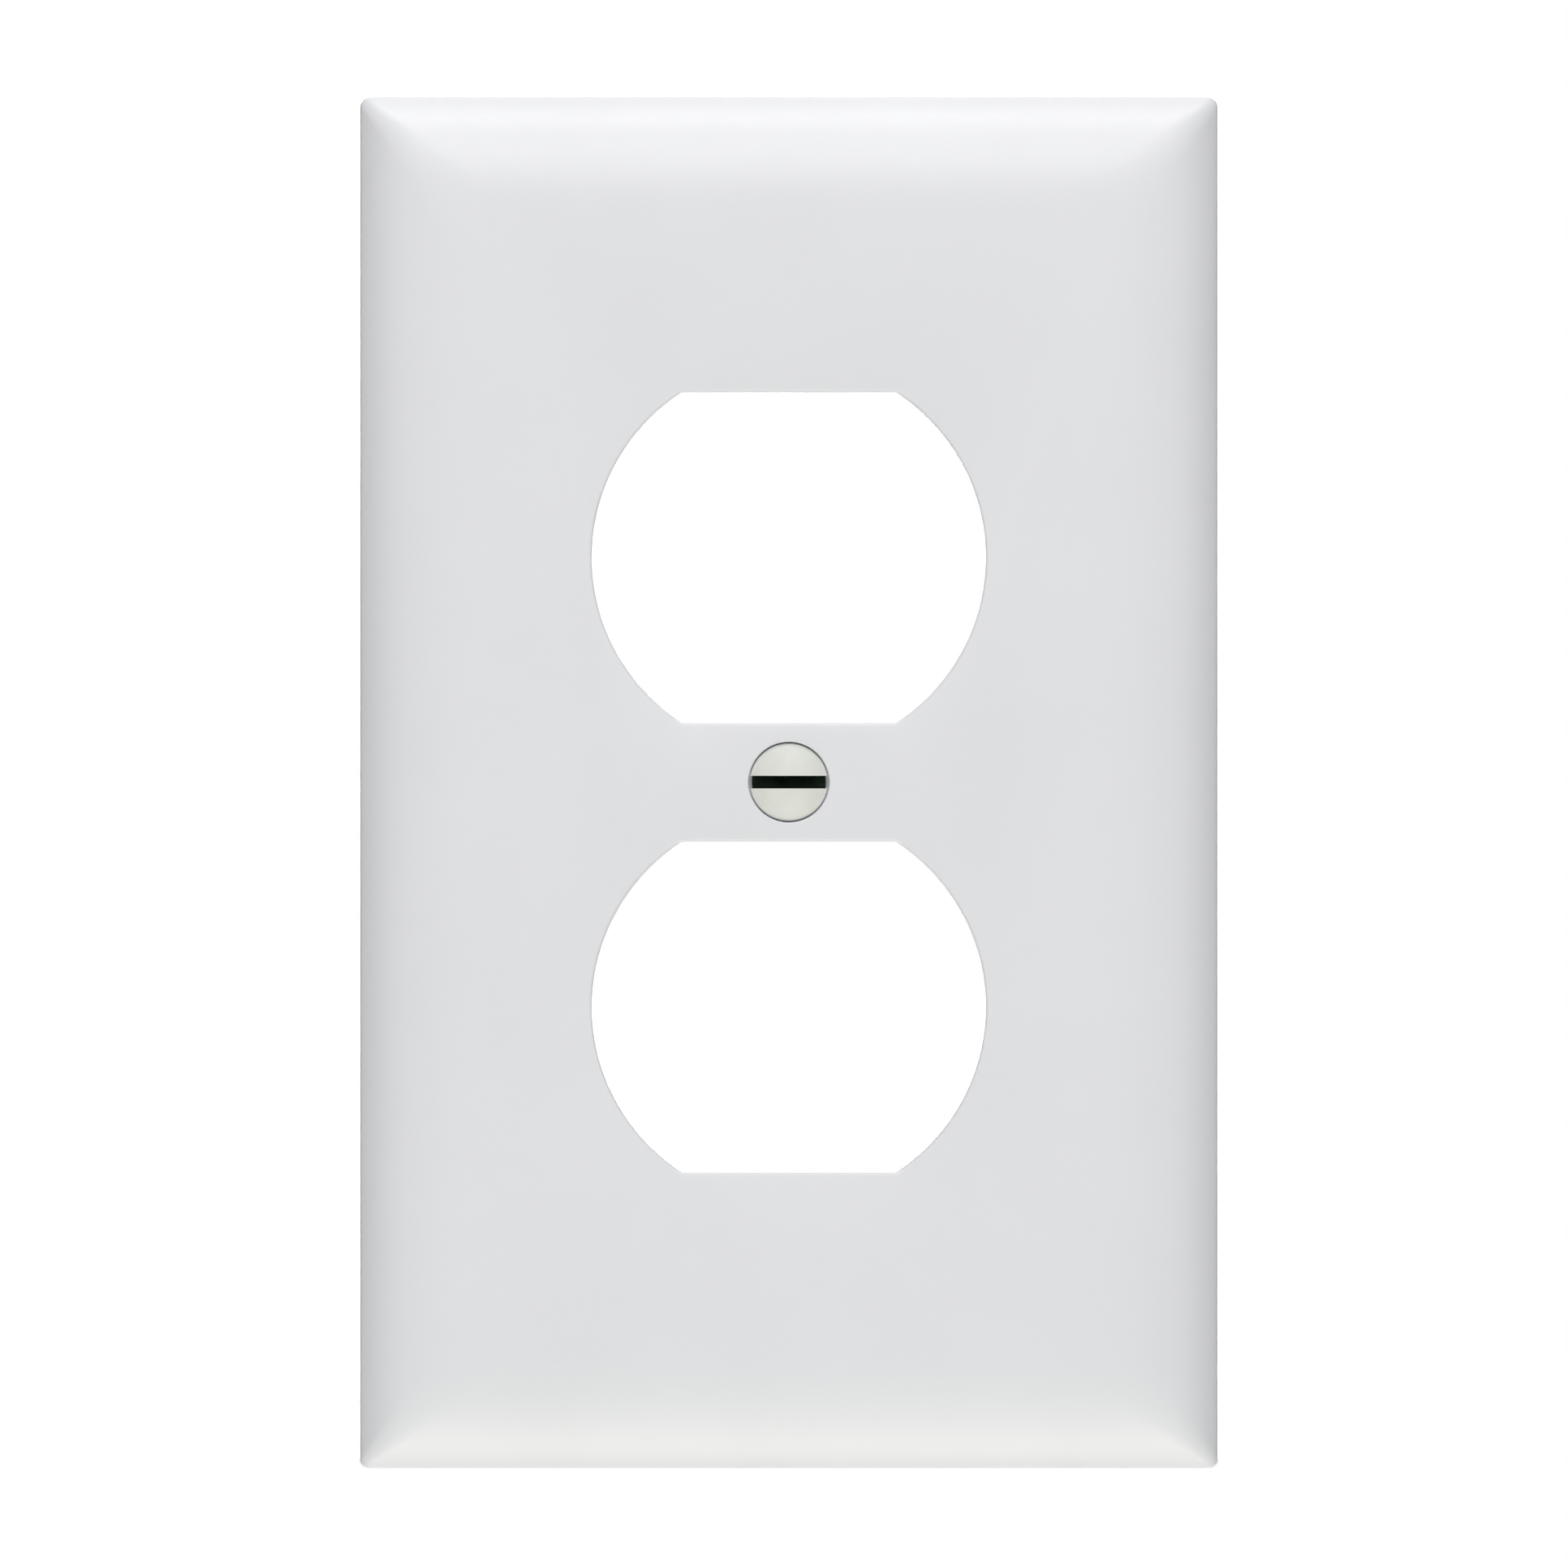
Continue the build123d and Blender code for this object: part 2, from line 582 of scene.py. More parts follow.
@dataclass(frozen=True)
class PressedFibre:
    """Off-white fibre board, punched from sheet: matt, with short fibres pressed into it."""

    colour: Colour = (0.72, 0.69, 0.62)
    fibre: Colour = (0.60, 0.56, 0.48)
    sheen: tuple[float, float] = (0.7, 0.85)
    fibre_depth: float = 0.015

    def material(self) -> bpy.types.Material:
        """Builds the finish.

        Returns:
            Its material.
        """
        shader = Shader("pressed_fibre")
        strands = shader.noise(size=0.25, detail=4.0, stretch=(1.0, 1.0, 0.25))
        shader.colour(strands, self.colour, self.fibre)
        shader.roughness(strands, *self.sheen)
        shader.bump((strands, self.fibre_depth))
        shader.set(shader.surface, Specular_IOR_Level=0.3)
        return shader.material


# ---- the screw ----


@dataclass
class ScrewLevels:
    """Where the screw sits in the plate, and the seat round it. All in millimetres.

    The mouth's edge is a row of (widening, rise above the face), from the countersink outwards.
    """

    tip: float
    head_radius: float
    thread_radius: float
    washer_radius: float
    face: float
    boss: float
    head_sink: float = 0.3
    head_dome: float = 1.15
    head_rim: float = 0.2
    cone_angle: float = 82.0
    neck_inside: float = 0.275
    neck_length: float = 1.15
    hole_clearance: float = 0.2
    hole_chamfer: float = 0.12
    seat_clearance: float = 0.14
    mouth_edge: tuple[Point, ...] = ((0.0, -0.14), (0.04, -0.05), (0.16, 0.03))
    boss_wall: float = 1.35
    washer_clearance: float = 0.3
    into_recess: float = 0.4
    seat_facets: int = 120

    @property
    def head(self) -> float:
        """The level of the head's widest point, a little below the plate's face."""
        return self.face - self.head_sink

    @property
    def dome(self) -> float:
        """The level the dome would reach without its slot."""
        return self.head + self.head_dome

    @property
    def rim(self) -> float:
        """The level at which the head's cone starts."""
        return self.head - self.head_rim

    @property
    def cone_slope(self) -> float:
        """How far the cone widens for each millimetre of level."""
        return math.tan(math.radians(self.cone_angle / 2))

    @property
    def neck_radius(self) -> float:
        """Radius of the plain shank."""
        return self.thread_radius - self.neck_inside

    @property
    def neck(self) -> float:
        """The level at which the cone meets the plain shank."""
        return self.rim - (self.head_radius - self.neck_radius) / self.cone_slope

    @property
    def thread(self) -> float:
        """The level at which the thread starts."""
        return self.neck - self.neck_length

    @property
    def mouth_radius(self) -> float:
        """Radius of the countersink's mouth."""
        return self.head_radius + self.seat_clearance

    def seat(self) -> Piece:
        """Turns the cutter of the screw's hole and its countersink.

        Returns:
            The cutter.
        """
        hole = self.thread_radius + self.hole_clearance
        chamfer, mouth = self.hole_chamfer, self.mouth_radius
        cone_end = self.rim - (mouth - hole) / self.cone_slope
        profile = [
            (hole + chamfer, self.boss - self.into_recess),
            (hole + chamfer, self.boss),
            (hole, self.boss + chamfer),
            (hole, cone_end),
            (mouth, self.rim),
        ]
        profile += [(mouth + wider, self.face + rise) for wider, rise in self.mouth_edge]
        return Bench.turn("seat", profile, self.seat_facets)

    def recess(self) -> Piece:
        """Turns the cutter of the recess behind the boss, for the washer."""
        radius = self.washer_radius + self.washer_clearance
        return Bench.turn("recess", [(radius, -PAST), (radius, self.boss)], self.seat_facets)


class Coat(Enum):
    """The screw's finishes, by their place among its materials."""

    ZINC = 0
    PAINT = 1
    # The slot's bare steel, coloured near-black as painted shade.
    SLOT_SHADE = 2


@dataclass
class Screw:
    """The oval-head machine screw. Sizes in millimetres, angles in degrees.

    The thread's corners are at shares of the pitch: root, foot, crest, crest, foot, root.
    """

    levels: ScrewLevels
    pitch: float = 0.794
    thread_depth: float = 0.46
    thread_corners: tuple[float, ...] = (0.0, 0.18, 0.447, 0.553, 0.82, 1.0)
    thread_steps: int = 48
    start_chamfer: float = 0.45
    tip_chamfer: float = 0.45
    into_thread: float = 0.4
    rim_round: float = 0.05
    dome_end: float = 1.2
    dome_steps: int = 16
    slot_width: float = 1.1
    slot_depth: float = 1.5
    slot_foot: float = 0.08
    slot_edge: float = 0.07
    sharp_below: float = 0.25
    paint_past_neck: float = 0.25
    crease: float = 35.0
    paint: BakedPaint = field(default_factory=BakedPaint)
    zinc: RolledSteel = field(default_factory=RolledSteel)
    # Painted shade: the slot's walls and floor are bare steel coloured near-black, which stands in
    # for the shadow deep in the slot.
    slot_shade: RolledSteel = field(
        default_factory=lambda: RolledSteel(
            name="slot_painted_shade", colour=(0.007, 0.016, 0.008), dull=(0.004, 0.010, 0.005),
            sheen=(0.60, 0.80), metal=0.0, sheen_level=0.12,
        )
    )

    @property
    def thread_root(self) -> float:
        """Radius between the turns of the thread."""
        return self.levels.thread_radius - self.thread_depth

    @property
    def slot_floor(self) -> float:
        """The level of the slot's floor."""
        return self.levels.dome - self.slot_depth

    def dome_profile(self) -> list[Point]:
        """Draws the head's dome, part of a sphere.

        Returns:
            (radius, level) of each point, from the rim to the top.
        """
        levels = self.levels
        sphere = (levels.head_radius**2 + levels.head_dome**2) / (2 * levels.head_dome)
        lowest, highest = math.asin(levels.head_radius / sphere), math.radians(self.dome_end)
        turns = spaced(-lowest, -highest, self.dome_steps)
        return arc((0.0, levels.dome - sphere), sphere, turns)

    def head_and_neck(self) -> Piece:
        """Turns the head, its cone and the plain shank, and cuts the slot.

        Returns:
            The head with its shank.
        """
        levels = self.levels
        soft = self.rim_round
        profile = [
            (levels.neck_radius, levels.thread - self.into_thread),
            (levels.neck_radius, levels.neck),
            (levels.head_radius - soft, levels.rim - 0.5 * soft),
            (levels.head_radius, levels.rim + soft),
            *self.dome_profile(),
        ]
        head = Bench.turn("screw_head", profile)
        reach, half = levels.head_radius + PAST, self.slot_width / 2
        low = place(-reach, levels.dome + PAST, -half)
        high = place(reach, self.slot_floor, half)
        Bench.fuse(head, Bench.bar("slot", low, high, self.slot_foot), Fusing.CUT)
        self.ease_slot(head)
        return head

    def ease_slot(self, head: Piece) -> None:
        """Rounds the slot's two long edges, as the paint does.

        Args:
            head: the screw's head, with its slot cut.
        """
        half, hair = mm(self.slot_width / 2), mm(0.004)
        above_floor = mm(self.slot_floor + self.sharp_below)
        least_bend = math.radians(30)

        def is_lip(edge: bmesh.types.BMEdge) -> bool:
            """Whether an edge is one where the slot's wall meets the dome."""
            along_wall = all(
                abs(abs(end.co.z) - half) < hair and -end.co.y > above_floor for end in edge.verts
            )
            return along_wall and edge.calc_face_angle(0.0) > least_bend

        Bench.open(head)
        Bench.pick(head, Kind.EDGES, is_lip)
        bpy.ops.mesh.bevel(
            offset=mm(self.slot_edge), segments=3, affect="EDGES", clamp_overlap=True
        )
        Bench.close()

    def thread_blank(self) -> Piece:
        """Turns the form that trims the thread: chamfered at its start and at the tip.

        Returns:
            The form.
        """
        levels = self.levels
        clear = 0.02
        crest = levels.thread_radius
        profile = [
            (crest - self.tip_chamfer, levels.tip),
            (crest + clear, levels.tip + self.tip_chamfer),
            (crest + clear, levels.thread - self.start_chamfer),
            (self.thread_root + clear, levels.thread),
        ]
        return Bench.turn("thread_blank", profile)

    def thread_section(self) -> Piece:
        """Draws one turn's section as an upright chain of edges, from below the tip.

        Returns:
            The chain.
        """
        root, crest = self.thread_root, self.levels.thread_radius
        below_tip = 1.5 * self.pitch
        start = self.levels.tip - below_tip
        corners = [
            Vector((mm(radius), 0.0, mm(start + share * self.pitch)))
            for radius, share in zip((root, root, crest, crest, root, root), self.thread_corners)
        ]
        section = add("thread", bpy.data.meshes.new("thread"))
        Bench.open(section)
        bpy.ops.mesh.primitive_plane_add(size=mm(self.thread_depth), location=corners[0])
        bpy.ops.mesh.merge(type="CENTER")
        for here, there in zip(corners, corners[1:]):
            bpy.ops.mesh.extrude_vertices_move(TRANSFORM_OT_translate={"value": there - here})
        Bench.take(section)
        return section

    def thread(self) -> Piece:
        """Sweeps the section up the shank into a right-hand thread, trimmed at both ends.

        Returns:
            The threaded rod.
        """
        length, spare_turns = self.levels.thread - self.levels.tip, 2
        rod = self.thread_section()
        sweep = rod.modifiers.new("sweep", "SCREW")
        sweep.axis = "Z"
        sweep.angle = 2 * math.pi
        sweep.screw_offset = mm(self.pitch)
        sweep.iterations = math.ceil(length / self.pitch) + spare_turns
        sweep.steps = sweep.render_steps = self.thread_steps
        sweep.use_merge_vertices = False
        bpy.ops.object.modifier_apply(modifier=sweep.name)
        Bench.open(rod)
        bpy.ops.mesh.select_all(action="SELECT")
        bpy.ops.mesh.remove_doubles(threshold=mm(1.6 * WELD))
        bpy.ops.mesh.select_all(action="SELECT")
        bpy.ops.mesh.fill_holes(sides=0)
        Bench.close()
        rod.rotation_euler = FACING_OUT
        Bench.take(rod)
        bpy.ops.object.transform_apply(location=False, rotation=True, scale=False)
        Bench.fuse(rod, self.thread_blank(), Fusing.TRIM)
        return rod

    def in_slot(self, face: bpy.types.MeshPolygon) -> bool:
        """Says whether a face is part of the slot: its floor, its walls or their feet.

        Args:
            face: a face of the whole screw.

        Returns:
            Whether it is.
        """
        floor, half = self.slot_floor, self.slot_width / 2
        hair, upright, flat = 0.01, 0.95, 0.999
        level, aside = -in_mm(face.center.y), abs(in_mm(face.center.z))
        if aside < half and abs(level - floor) < 2 * hair:
            return True
        within = aside < half + hair and level > floor - 5 * hair
        foot = level < floor + 1.5 * self.slot_foot
        wall = abs(face.normal.z) > upright
        return within and (wall or foot) and face.normal.y > -flat

    def dress(self, piece: Piece) -> None:
        """Gives the head its paint, the slot bare steel coloured near-black as painted shade, and
        the rest its plating.

        Args:
            piece: the whole screw.
        """
        under_head = self.levels.neck - self.paint_past_neck
        for finish in (self.zinc, self.paint, self.slot_shade):
            piece.data.materials.append(finish.material())
        for face in piece.data.polygons:
            # Slot faces get the near-black steel, which is painted shade.
            if self.in_slot(face):
                face.material_index = Coat.SLOT_SHADE.value
            elif -in_mm(face.center.y) > under_head:
                face.material_index = Coat.PAINT.value

    def build(self) -> Piece:
        """Models the screw and dresses it.

        Returns:
            The finished screw.
        """
        piece = self.thread()
        Bench.fuse(piece, self.head_and_neck(), Fusing.ADD)
        piece.name = "oval_head_screw"
        self.dress(piece)
        Bench.finish(piece, self.crease)
        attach(piece, "screw")
        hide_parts("mounting_screw")
        return piece


# ---- the plate ----


@dataclass
class Plate:
    """The moulded plate. Sizes in millimetres, angles in degrees.

    The outside sizes and the openings' places come from the frame. A section through the border
    is drawn in insets from the outline and levels above the wall.
    """

    width: float
    height: float
    depth: float
    opening_centre: float
    seat_levels: ScrewLevels
    corner_radius: float = 0.9
    face_corner_radius: float = 4.5
    corner_facets: int = 10
    side_draft: float = 0.15
    crown_width: float = 9.5
    crown_radius: float = 19.5
    crown_steps: int = 7
    shoulder_width: float = 4.0
    shoulder_radius: float = 8.0
    shoulder_steps: int = 9
    face_ring: float = 0.4
    edge_round: float = 0.8
    rim_round: float = 0.15
    face_wall: float = 2.0
    skirt_wall: float = 1.6
    opening_radius: float = 17.05
    opening_flat: float = 14.3
    opening_facets: int = 120
    opening_edge: float = 0.3
    opening_edge_turn: float = 75.0
    opening_back_edge: float = 0.12
    collar_wall: float = 1.3
    strap_clearance: float = 2.2
    rib_clearance: float = 0.7
    rib_thickness: float = 1.0
    rib_round: float = 0.18
    end_rib: float = 46.45
    side_rib_rows: int = 5
    boss_round: float = 0.15
    pin_mark_radius: float = 1.7
    pin_mark_depth: float = 0.1
    pin_mark_places: tuple[Point, ...] = ((23.4, 9.7), (23.4, 29.2), (9.0, 41.2))
    crease: float = 32.0
    finish: MouldedNylon = field(default_factory=MouldedNylon)

    @property
    def mid_face(self) -> float:
        """The level halfway through the face."""
        return self.depth - self.face_wall / 2

    def outline(self, inset: float, level: float) -> Outline:
        """Draws the plate's outline at a level.

        Args:
            inset: how far it is drawn in.
            level: where it lies.

        Returns:
            The outline, with rounder corners the further in it is.
        """
        share = max(inset, 0.0) / self.crown_width
        radius = self.corner_radius + (self.face_corner_radius - self.corner_radius) * share
        return Outline(self.width - 2 * inset, self.height - 2 * inset, radius, level)

    def rim_points(self) -> list[Point]:
        """(inset, level) over the round at the side's foot, without the last point."""
        radius = self.rim_round
        return arc((radius, radius), radius, spaced(math.pi, math.pi / 2, 4)[:-1])

    def crown_points(self, thickness: float, end_inset: float) -> list[Point]:
        """Draws the crown, from low on the shoulder up to the flat face.

        Args:
            thickness: how far under the outer skin.
            end_inset: the inset of the lowest point.

        Returns:
            (inset, level) of each point.
        """
        join = math.asin((self.crown_width - self.shoulder_width) / self.crown_radius)
        crown_centre = (self.crown_width, self.depth - self.crown_radius)
        centre = arc(crown_centre, self.crown_radius - self.shoulder_radius, [join])[0]
        radius = self.shoulder_radius - thickness
        lowest = math.asin((centre[0] - end_inset) / radius)
        shoulder = arc(centre, radius, spaced(lowest, join, self.shoulder_steps))
        crown_turns = spaced(join, 0.0, self.crown_steps)[1:]
        return shoulder + arc(crown_centre, self.crown_radius - thickness, crown_turns)

    def edge_points(self, foot: Point, shoulder: Sequence[Point]) -> list[Point]:
        """Joins the side to the shoulder with a round between them.

        Args:
            foot: (inset, level) of the side's lowest point.
            shoulder: the points over the shoulder, from its sharp edge up.

        Returns:
            All points, from the foot over the round to the flat face.
        """
        steps, room = 6, 1.3
        edge, beyond = Vector(shoulder[0]), Vector(shoulder[1])
        side = (edge - Vector(foot)).normalized()
        over = (beyond - edge).normalized()
        turn = side.angle(over)
        reach = self.edge_round * math.tan(turn / 2)
        start = edge - side * reach
        inward = Vector((side.y, -side.x))
        centre = start + inward * self.edge_round
        points = []
        for step in spaced(0.0, turn, steps):
            spoke = -inward * math.cos(step) + side * math.sin(step)
            points.append(tuple(centre + spoke * self.edge_round))
        rest = [point for point in shoulder if (Vector(point) - edge).length > reach * room]
        return [foot, *points, *rest]

    def outside(self) -> Piece:
        """Lofts the plate's outer form.

        Returns:
            The form, without its hollow and openings.
        """
        shoulder = self.crown_points(0.0, self.side_draft)
        points = self.rim_points() + self.edge_points((0.0, self.rim_round), shoulder)
        points.append((self.crown_width + self.face_ring, self.depth))
        outlines = [self.outline(*point) for point in points]
        return Bench.loft("wall_plate_moulding", outlines, self.corner_facets)

    def hollow(self) -> Piece:
        """Lofts what the mould's core fills behind the face, with grooves for the ribs.

        Returns:
            The core.
        """
        wall = self.skirt_wall
        chamfer = self.rim_round
        points = [(wall - chamfer, -PAST), (wall - chamfer, 0.0), (wall, chamfer)]
        points += self.crown_points(self.face_wall, wall + self.side_draft)
        core = Bench.loft("core", [self.outline(*point) for point in points], self.corner_facets)
        for groove in (*self.rib_solids(), *self.collar_solids(), self.boss_solid()):
            Bench.fuse(core, groove, Fusing.CUT)
        return core

    def rib_solids(self) -> list[Piece]:
        """Makes the solids that the ribs leave in the core.

        Returns:
            The solids, the one between the openings first.
        """
        half = self.rib_thickness / 2
        beside = self.opening_radius + self.collar_wall / 2
        far_x, far_z = self.width / 2, self.height / 2
        deep, shallow = self.rib_clearance, self.strap_clearance
        spans = [(-beside, beside, -half, half, shallow)]
        for side in SIDES:
            spans.append((side * beside - half, side * beside + half, -far_z, far_z, deep))
            across = side * self.end_rib
            spans.append((-beside, beside, across - half, across + half, shallow))
            low, high = sorted((side * beside, side * far_x))
            for row in range(self.side_rib_rows):
                z = (row - (self.side_rib_rows - 1) / 2) * self.opening_centre
                spans.append((low, high, z - half, z + half, deep))
        return [
            Bench.bar(
                "rib", place(x_low, self.mid_face, z_low), place(x_high, clearance, z_high),
                self.rib_round,
            )
            for x_low, x_high, z_low, z_high, clearance in spans
        ]

    def collar_solids(self) -> list[Piece]:
        """Makes the solids inside the two collars' outer walls, with their low edges rounded.

        Returns:
            The lower one and the upper one.
        """
        wall, soft, low = self.collar_wall, self.rib_round, self.strap_clearance
        eased = 0.3 * soft
        section = [
            (wall - soft, low), (wall - eased, low + eased), (wall, low + soft),
            (wall, self.mid_face),
        ]
        return [
            self.opening_solid("collar", side * self.opening_centre, section) for side in SIDES
        ]

    def boss_solid(self) -> Piece:
        """Turns the solid that the screw's boss leaves in the core.

        Returns:
            The solid.
        """
        levels, soft = self.seat_levels, self.boss_round
        radius = levels.mouth_radius + levels.boss_wall
        profile = [(radius - soft, levels.boss), (radius, levels.boss + soft)]
        return Bench.turn("boss", [*profile, (radius, self.mid_face)])

    def opening_solid(self, name: str, centre: float, section: Sequence[Point]) -> Piece:
        """Draws the outline of an opening out into a solid.

        Args:
            name: the object's name.
            centre: the opening's height above the screw.
            section: (margin round the opening, level) of each step from the wall outwards.

        Returns:
            The solid.
        """
        hair = 0.02
        margin, level = section[0]
        radius, flat = self.opening_radius + margin, self.opening_flat + margin
        solid = Bench.disc(name, radius, level, self.opening_facets)
        for side in SIDES:
            Bench.pick(solid, Kind.CORNERS, lambda end: side * end.co.z > mm(flat - hair))
            bpy.ops.transform.resize(
                value=(1.0, 1.0, 0.0), center_override=place(0, level, side * flat)
            )
        bpy.ops.mesh.select_all(action="SELECT")
        for next_margin, next_level in section[1:]:
            wider = (self.opening_radius + next_margin) / radius
            taller = (self.opening_flat + next_margin) / flat
            Bench.pull(level, next_level, wider, taller)
            radius, flat, level = radius * wider, flat * taller, next_level
        bpy.ops.mesh.select_all(action="SELECT")
        bpy.ops.transform.translate(value=(0.0, 0.0, mm(centre)))
        Bench.close()
        return solid

    def opening(self, centre: float) -> Piece:
        """Makes the cutter of an opening, flared to round the opening's edge in the face.

        Args:
            centre: the opening's height above the screw.

        Returns:
            The cutter.
        """
        radius, back, low = self.opening_edge, self.opening_back_edge, self.strap_clearance
        steps, just_past, last_turn = 6, 0.02, math.radians(self.opening_edge_turn)
        turns = spaced(math.pi / 2, math.pi / 2 - last_turn, steps)
        section = [(back, -PAST), (back, low), (0.0, low + back)]
        section += arc((radius, self.depth - radius), radius, turns)
        margin, level = section[-1]
        over = just_past + self.depth - level
        section.append((margin + over * math.tan(last_turn), level + over))
        return self.opening_solid("opening", centre, section)

    def pin_marks(self) -> list[Piece]:
        """Makes the cutters of the shallow discs that the ejector pins leave behind the face.

        Returns:
            The cutters, the same in each quarter of the plate.
        """
        tall, sides = 0.4, 48
        level = self.depth - self.face_wall + self.pin_mark_depth - tall / 2
        marks = []
        for side, up, (x, z) in product(SIDES, SIDES, self.pin_mark_places):
            bpy.ops.mesh.primitive_cylinder_add(
                vertices=sides, radius=mm(self.pin_mark_radius), depth=mm(tall),
                location=place(side * x, level, up * z), rotation=FACING_OUT,
            )
            marks.append(Bench.settle("pin_mark"))
        return marks

    def build(self) -> Piece:
        """Models the plate and dresses it.

        Returns:
            The finished plate.
        """
        piece = self.outside()
        Bench.fuse(piece, self.hollow(), Fusing.CUT)
        for side in SIDES:
            Bench.fuse(piece, self.opening(side * self.opening_centre), Fusing.CUT)
        for cutter in (self.seat_levels.recess(), self.seat_levels.seat(), *self.pin_marks()):
            Bench.fuse(piece, cutter, Fusing.CUT)
        Bench.finish(piece, self.crease)
        piece.data.materials.append(self.finish.material())
        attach(piece, "plate")
        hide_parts("wall_plate")
        return piece


# ---- the washer ----


@dataclass
class Washer:
    """The fibre washer on the screw's plain shank. Sizes in millimetres, angles in degrees."""

    radius: float
    hole: float
    low: float
    high: float
    soft: float = 0.06
    crease: float = 25.0
    finish: PressedFibre = field(default_factory=PressedFibre)

    def build(self) -> Piece:
        """Models the washer and dresses it.

        Returns:
            The finished washer.
        """
        radius, hole, soft = self.radius, self.hole, self.soft
        disc = [
            (radius - soft, self.low), (radius, self.low + soft), (radius, self.high - soft),
            (radius - soft, self.high),
        ]
        punch = [
            (hole + soft, self.low - PAST), (hole + soft, self.low), (hole, self.low + soft),
            (hole, self.high + PAST),
        ]
        piece = Bench.turn("punched_washer", disc)
        Bench.fuse(piece, Bench.turn("hole", punch), Fusing.CUT)
        Bench.finish(piece, self.crease)
        piece.data.materials.append(self.finish.material())
        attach(piece, "washer")
        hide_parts("retaining_washer")
        return piece


# ---- the studio ----


def seen_or_mirrored(tree: bpy.types.NodeTree) -> Socket:
    """Tells what the camera sees, straight or in a gloss or through glass, from light.

    Args:
        tree: the node tree that needs to know.

    Returns:
        The socket that gives 1 for what is seen and 0 for light.
    """
    path = tree.nodes.new("ShaderNodeLightPath")
    seen = path.outputs["Is Camera Ray"]
    for name in ("Is Glossy Ray", "Is Transmission Ray"):
        larger = tree.nodes.new("ShaderNodeMath")
        larger.operation = "MAXIMUM"
        tree.links.new(seen, larger.inputs[0])
        tree.links.new(path.outputs[name], larger.inputs[1])
        seen = larger.outputs[0]
    return seen


@dataclass(frozen=True)
class FloorPaint:
    """The floor's matt pale paint, which fades to white far away. Distances in metres."""

    colour: Colour = (0.86, 0.86, 0.86)
    worn: Colour = (0.8514, 0.8514, 0.8514)
    fade_from: float = 0.7
    fade_to: float = 3.0
    least_fade: float = 0.8

    def material(self) -> bpy.types.Material:
        """Builds the finish.

        Returns:
            Its material.
        """
        shader = Shader("floor_paint")
        shader.colour(shader.noise(size=30.0), self.colour, self.worn)
        shader.set(shader.surface, Roughness=0.9, Specular_IOR_Level=0.1)
        reach = shader.node("ShaderNodeVectorMath", operation="LENGTH")
        shader.link(shader.coordinates.outputs["Object"], reach.inputs[0])
        fade = shader.node("ShaderNodeMapRange", interpolation_type="SMOOTHSTEP")
        shader.set(fade, From_Min=self.fade_from, From_Max=self.fade_to, To_Min=self.least_fade)
        shader.link(reach.outputs["Value"], fade.inputs["Value"])
        share = shader.node("ShaderNodeMath", operation="MULTIPLY")
        shader.link(fade.outputs["Result"], share.inputs[0])
        shader.link(seen_or_mirrored(shader.tree), share.inputs[1])
        white = shader.node("ShaderNodeEmission")
        mix = shader.node("ShaderNodeMixShader")
        for number, source in enumerate((share, shader.surface, white)):
            shader.link(source.outputs[0], mix.inputs[number])
        shader.link(mix.outputs[0], shader.tree.nodes["Material Output"].inputs["Surface"])
        return shader.material


@dataclass(frozen=True)
class Lamp:
    """A rectangular soft lamp, aimed at the screw. Sizes and places in metres, power in watts."""

    name: str
    position: tuple[float, float, float]
    size: tuple[float, float]
    power: float
    tint: Colour

    def build(self) -> None:
        """Adds the lamp, out of the camera's sight."""
        data = bpy.data.lights.new(self.name, "AREA")
        data.shape = "RECTANGLE"
        data.size, data.size_y = self.size
        data.energy = self.power
        data.color = self.tint
        lamp = add(self.name, data)
        lamp.location = self.position
        aim = Vector() - Vector(self.position)
        lamp.rotation_euler = aim.to_track_quat("-Z", "Y").to_euler()
        lamp.visible_camera = False


